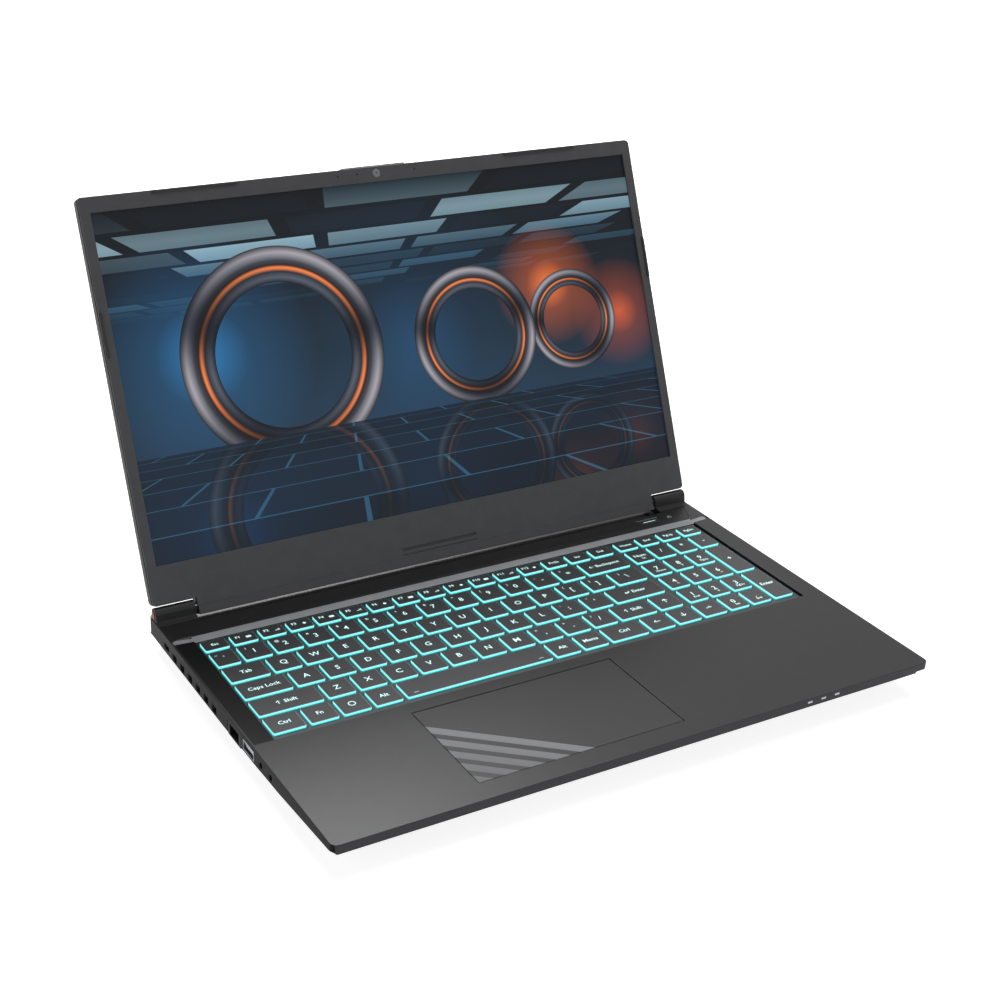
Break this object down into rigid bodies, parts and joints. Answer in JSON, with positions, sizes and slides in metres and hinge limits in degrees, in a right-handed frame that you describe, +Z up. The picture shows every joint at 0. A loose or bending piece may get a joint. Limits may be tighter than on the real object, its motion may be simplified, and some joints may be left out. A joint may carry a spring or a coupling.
{
  "type": "laptop computer",
  "caption": "Clamshell laptop computer with a full-size backlit keyboard, offset touchpad, wide screen and stepped hinge towers, shown open.",
  "frame": {"origin": "on the table, under the middle of the open laptop's bounding box", "axes": "+X to the user's right along the hinge, +Y from the user towards the back, +Z up"},
  "size_m": [0.3582, 0.325, 0.2347],
  "materials": {
    "deck_plastic": "satin",
    "case_plastic": "matte",
    "bezel_plastic": "matte",
    "frame_plastic": "matte",
    "key_plastic": "matte",
    "pad_plastic": "satin",
    "accent_plastic": "gloss",
    "lens_plastic": "gloss",
    "screen_glass": "satin",
    "socket_plastic": "matte",
    "socket_metal": "satin",
    "plain_steel": "satin",
    "copper": "satin",
    "fin_metal": "satin",
    "circuit_board": "satin",
    "chip_plastic": "matte",
    "foot_rubber": "matte"
  },
  "bodies": {
    "base": {"top_case": "deck_plastic", "bottom_case": "case_plastic", "hinge_tower_left": "case_plastic", "hinge_tower_right": "case_plastic", "tower_accents": "accent_plastic", "keyboard_frame": "frame_plastic", "keyboard_base": "plain_steel", "touchpad_bracket": "plain_steel", "front_indicators": "lens_plastic", "motherboard": "circuit_board", "io_boards": "circuit_board", "processors": "chip_plastic", "memory_modules": "circuit_board", "solid_state_drive": "circuit_board", "wireless_card": "circuit_board", "battery_pack": "chip_plastic", "speakers": "chip_plastic", "heat_sink": "copper", "fin_stacks": "fin_metal", "fan_housing_left": "chip_plastic", "fan_housing_right": "chip_plastic", "network_jack": "socket_plastic", "usb_jacks": "socket_metal", "audio_jacks": "socket_plastic", "usb_c_jack": "socket_metal", "card_reader": "socket_metal", "power_inlet": "socket_plastic", "hdmi_jack": "socket_metal", "hinge_bracket_left": "plain_steel", "hinge_bracket_right": "plain_steel", "front_feet": "foot_rubber", "rear_foot": "foot_rubber", "case_screws": "plain_steel"},
    "lid": {"lid_back_cover": "case_plastic", "screen_bezel": "bezel_plastic", "display_panel": "screen_glass", "hinge_cover": "bezel_plastic", "webcam": "lens_plastic", "lid_bumpers": "foot_rubber", "hinge_arm_left": "plain_steel", "hinge_arm_right": "plain_steel", "hinge_pins": "plain_steel"},
    "fan_impeller_left_body": {"fan_impeller_left": "chip_plastic"},
    "fan_impeller_right_body": {"fan_impeller_right": "chip_plastic"},
    "touchpad_body": {"touchpad": "pad_plastic"},
    "power_button_body": {"power_button": "deck_plastic"},
    "function_keys_body": {"function_keys": "key_plastic"},
    "number_keys_body": {"number_keys": "key_plastic"},
    "backspace_key_body": {"backspace_key": "key_plastic"},
    "top_letter_keys_body": {"top_letter_keys": "key_plastic"},
    "home_letter_keys_body": {"home_letter_keys": "key_plastic"},
    "enter_key_body": {"enter_key": "key_plastic"},
    "lower_letter_keys_body": {"lower_letter_keys": "key_plastic"},
    "shift_keys_body": {"shift_keys": "key_plastic"},
    "modifier_keys_body": {"modifier_keys": "key_plastic"},
    "space_bar_body": {"space_bar": "key_plastic"},
    "arrow_keys_body": {"arrow_keys": "key_plastic"},
    "numpad_keys_body": {"numpad_keys": "key_plastic"},
    "numpad_tall_keys_body": {"numpad_tall_keys": "key_plastic"}
  },
  "joints": [
    {"name": "lid_hinge", "type": "hinge", "parent": "base", "child": "lid", "pos_m": [0, 0.06741, 0.023], "axis": [-1, 0, 0], "range_deg": [-113.23, 26.77]},
    {"name": "fan_spin_left", "type": "hinge", "parent": "base", "child": "fan_impeller_left_body", "pos_m": [-0.12212, 0.01911, 0.0072], "axis": [0, 0, 1], "continuous": true},
    {"name": "fan_spin_right", "type": "hinge", "parent": "base", "child": "fan_impeller_right_body", "pos_m": [0.12212, 0.01911, 0.0072], "axis": [0, 0, 1], "continuous": true},
    {"name": "touchpad_click", "type": "hinge", "parent": "base", "child": "touchpad_body", "pos_m": [-0.036, -0.08039, 0.018], "axis": [1, 0, 0], "range_deg": [0, 0.33], "stiffness_Nm_per_rad": 12, "springref_deg": -0.34},
    {"name": "power_press", "type": "slide", "parent": "base", "child": "power_button_body", "axis": [0, 0, -1], "range_m": [0, 0.0006], "stiffness_N_per_m": 800, "springref_m": -0.0008},
    {"name": "function_keys_press", "type": "slide", "parent": "base", "child": "function_keys_body", "axis": [0, 0, -1], "range_m": [0, 0.0015], "stiffness_N_per_m": 7500, "springref_m": -0.0008},
    {"name": "number_keys_press", "type": "slide", "parent": "base", "child": "number_keys_body", "axis": [0, 0, -1], "range_m": [0, 0.0015], "stiffness_N_per_m": 4875, "springref_m": -0.0008},
    {"name": "backspace_key_press", "type": "slide", "parent": "base", "child": "backspace_key_body", "axis": [0, 0, -1], "range_m": [0, 0.0015], "stiffness_N_per_m": 375, "springref_m": -0.0008},
    {"name": "top_letter_keys_press", "type": "slide", "parent": "base", "child": "top_letter_keys_body", "axis": [0, 0, -1], "range_m": [0, 0.0015], "stiffness_N_per_m": 4875, "springref_m": -0.0008},
    {"name": "home_letter_keys_press", "type": "slide", "parent": "base", "child": "home_letter_keys_body", "axis": [0, 0, -1], "range_m": [0, 0.0015], "stiffness_N_per_m": 4125, "springref_m": -0.0008},
    {"name": "enter_key_press", "type": "slide", "parent": "base", "child": "enter_key_body", "axis": [0, 0, -1], "range_m": [0, 0.0015], "stiffness_N_per_m": 375, "springref_m": -0.0008},
    {"name": "lower_letter_keys_press", "type": "slide", "parent": "base", "child": "lower_letter_keys_body", "axis": [0, 0, -1], "range_m": [0, 0.0015], "stiffness_N_per_m": 3750, "springref_m": -0.0008},
    {"name": "shift_keys_press", "type": "slide", "parent": "base", "child": "shift_keys_body", "axis": [0, 0, -1], "range_m": [0, 0.0015], "stiffness_N_per_m": 750, "springref_m": -0.0008},
    {"name": "modifier_keys_press", "type": "slide", "parent": "base", "child": "modifier_keys_body", "axis": [0, 0, -1], "range_m": [0, 0.0015], "stiffness_N_per_m": 3375, "springref_m": -0.0008},
    {"name": "space_bar_press", "type": "slide", "parent": "base", "child": "space_bar_body", "axis": [0, 0, -1], "range_m": [0, 0.0015], "stiffness_N_per_m": 375, "springref_m": -0.0008},
    {"name": "arrow_keys_press", "type": "slide", "parent": "base", "child": "arrow_keys_body", "axis": [0, 0, -1], "range_m": [0, 0.0015], "stiffness_N_per_m": 1500, "springref_m": -0.0008},
    {"name": "numpad_keys_press", "type": "slide", "parent": "base", "child": "numpad_keys_body", "axis": [0, 0, -1], "range_m": [0, 0.0015], "stiffness_N_per_m": 5625, "springref_m": -0.0008},
    {"name": "numpad_tall_keys_press", "type": "slide", "parent": "base", "child": "numpad_tall_keys_body", "axis": [0, 0, -1], "range_m": [0, 0.0015], "stiffness_N_per_m": 750, "springref_m": -0.0008}
  ]
}
